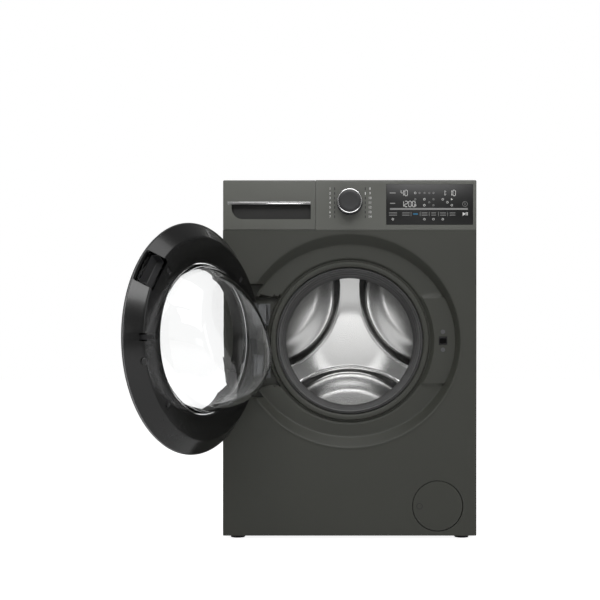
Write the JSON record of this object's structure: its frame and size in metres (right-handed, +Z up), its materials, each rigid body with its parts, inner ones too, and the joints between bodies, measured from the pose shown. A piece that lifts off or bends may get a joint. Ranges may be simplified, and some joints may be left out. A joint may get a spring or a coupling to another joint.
{
  "type": "front load washing machine",
  "caption": "Freestanding front-loading washer with an open round door, stainless drum, detergent drawer, programme knob and touch panel.",
  "frame": {"origin": "floor level, at the centre of the four feet, which is the middle of the cabinet", "axes": "+X to the right seen from the front, +Y into the machine from front to back, +Z up"},
  "size_m": [0.7555, 0.9842, 0.85],
  "materials": {
    "cabinet_paint": "satin coated steel, olive anthracite",
    "zinc_steel": "galvanised sheet and plated fasteners",
    "stainless": "polished stainless sheet",
    "chrome_trim": "bright plating",
    "cast_aluminium": "die cast, light texture",
    "fascia_plastic": "painted satin moulding, anthracite",
    "black_gloss": "polished black moulding",
    "black_plastic": "fine-textured black moulding",
    "white_plastic": "white polypropylene",
    "grey_tub_plastic": "filled polypropylene",
    "clear_glass": "pressed clear glass",
    "panel_glass": "black printed glass",
    "grey_rubber": "moulded grey rubber",
    "black_rubber": "moulded black rubber",
    "concrete": "cast concrete",
    "circuit_board": "laminate with solder mask",
    "white_enamel": "painted motor casing"
  },
  "bodies": {
    "cabinet": {"left_side_panel": "cabinet_paint", "right_side_panel": "cabinet_paint", "front_panel": "cabinet_paint", "rear_panel": "zinc_steel", "rear_access_cover": "zinc_steel", "base_tray": "black_plastic", "worktop": "cabinet_paint", "top_braces": "zinc_steel", "control_fascia": "fascia_plastic", "touch_panel": "panel_glass", "control_board": "circuit_board", "dispenser_housing": "white_plastic", "inlet_valve": "white_plastic", "inlet_hose": "black_rubber", "door_lock": "black_plastic", "hinge_bracket": "cast_aluminium", "pump_body": "black_plastic", "suspension_springs": "zinc_steel", "damper_tubes": "black_plastic", "sump_hose": "black_rubber", "fill_hose": "black_rubber", "drain_pipe": "grey_tub_plastic", "door_gasket": "grey_rubber", "transit_caps": "black_plastic", "case_screws": "zinc_steel", "cord_gland": "black_rubber", "foot_locknuts": "zinc_steel"},
    "tub": {"tub_front": "grey_tub_plastic", "tub_rear": "grey_tub_plastic", "front_counterweight": "concrete", "top_counterweight": "concrete", "motor_housing": "white_enamel", "drive_belt": "black_rubber", "drum_bearings": "zinc_steel", "heater": "stainless", "damper_rods": "zinc_steel"},
    "drum": {"drum_shell": "stainless", "drum_back": "stainless", "drum_lifters": "stainless", "drum_spider": "cast_aluminium", "drum_shaft": "zinc_steel", "drum_pulley": "cast_aluminium"},
    "rotor": {"motor_pulley": "zinc_steel"},
    "door": {"door_outer_ring": "black_gloss", "door_inner_ring": "black_gloss", "door_glass": "clear_glass", "door_trim_ring": "chrome_trim", "door_hinge_arm": "cast_aluminium"},
    "hook": {"latch_hook": "black_plastic"},
    "drawer": {"drawer_tray": "white_plastic", "drawer_front": "fascia_plastic", "drawer_trim": "chrome_trim"},
    "knob": {"program_knob": "fascia_plastic"},
    "flap": {"filter_flap": "cabinet_paint"},
    "cap": {"filter_cap": "black_plastic"},
    "impeller": {"pump_impeller": "black_plastic"},
    "foot_front_left": {"front_left_foot": "black_rubber"},
    "foot_front_right": {"front_right_foot": "black_rubber"},
    "foot_rear_left": {"rear_left_foot": "black_rubber"},
    "foot_rear_right": {"rear_right_foot": "black_rubber"}
  },
  "joints": [
    {"name": "door_swing", "type": "hinge", "parent": "cabinet", "child": "door", "pos_m": [-0.223, -0.275, 0.47], "axis": [0, 0, 1], "range_deg": [0, 117]},
    {"name": "hook_pivot", "type": "hinge", "parent": "door", "child": "hook", "pos_m": [-0.42099, -0.67019, 0.47], "axis": [0, 0, 1], "range_deg": [-4, 4], "stiffness_Nm_per_rad": 0.05},
    {"name": "drawer_slide", "type": "slide", "parent": "cabinet", "child": "drawer", "axis": [0, -1, 0], "range_m": [0, 0.18]},
    {"name": "knob_turn", "type": "hinge", "parent": "cabinet", "child": "knob", "pos_m": [0, -0.275, 0.797], "axis": [0, 1, 0], "continuous": true},
    {"name": "tub_float", "type": "slide", "parent": "cabinet", "child": "tub", "axis": [0, 0, 1], "range_m": [-0.008, 0.008], "stiffness_N_per_m": 12000, "springref_m": 0.03778, "deforming": ["suspension_springs", "sump_hose", "fill_hose", "door_gasket"]},
    {"name": "drum_spin", "type": "hinge", "parent": "tub", "child": "drum", "pos_m": [0, 0, 0.47], "axis": [0, 1, 0], "continuous": true},
    {"name": "motor_spin", "type": "hinge", "parent": "tub", "child": "rotor", "pos_m": [-0.07, 0.15, 0.13], "axis": [0, 1, 0], "continuous": true},
    {"name": "flap_pull", "type": "slide", "parent": "cabinet", "child": "flap", "axis": [0, -1, 0], "range_m": [0, 0.03]},
    {"name": "filter_turn", "type": "hinge", "parent": "cabinet", "child": "cap", "pos_m": [0.208, -0.245, 0.079], "axis": [0, 1, 0], "range_deg": [-90, 0]},
    {"name": "impeller_spin", "type": "hinge", "parent": "cabinet", "child": "impeller", "pos_m": [0.208, -0.14, 0.079], "axis": [0, 1, 0], "continuous": true},
    {"name": "front_left_foot_turn", "type": "hinge", "parent": "cabinet", "child": "foot_front_left", "pos_m": [-0.268, -0.234, 0.02], "axis": [0, 0, 1], "continuous": true},
    {"name": "front_right_foot_turn", "type": "hinge", "parent": "cabinet", "child": "foot_front_right", "pos_m": [0.268, -0.234, 0.02], "axis": [0, 0, 1], "continuous": true},
    {"name": "rear_left_foot_turn", "type": "hinge", "parent": "cabinet", "child": "foot_rear_left", "pos_m": [-0.268, 0.234, 0.02], "axis": [0, 0, 1], "continuous": true},
    {"name": "rear_right_foot_turn", "type": "hinge", "parent": "cabinet", "child": "foot_rear_right", "pos_m": [0.268, 0.234, 0.02], "axis": [0, 0, 1], "continuous": true}
  ],
  "couplings": [
    {"joint": "motor_spin", "follows": "drum_spin", "ratio": 14}
  ]
}
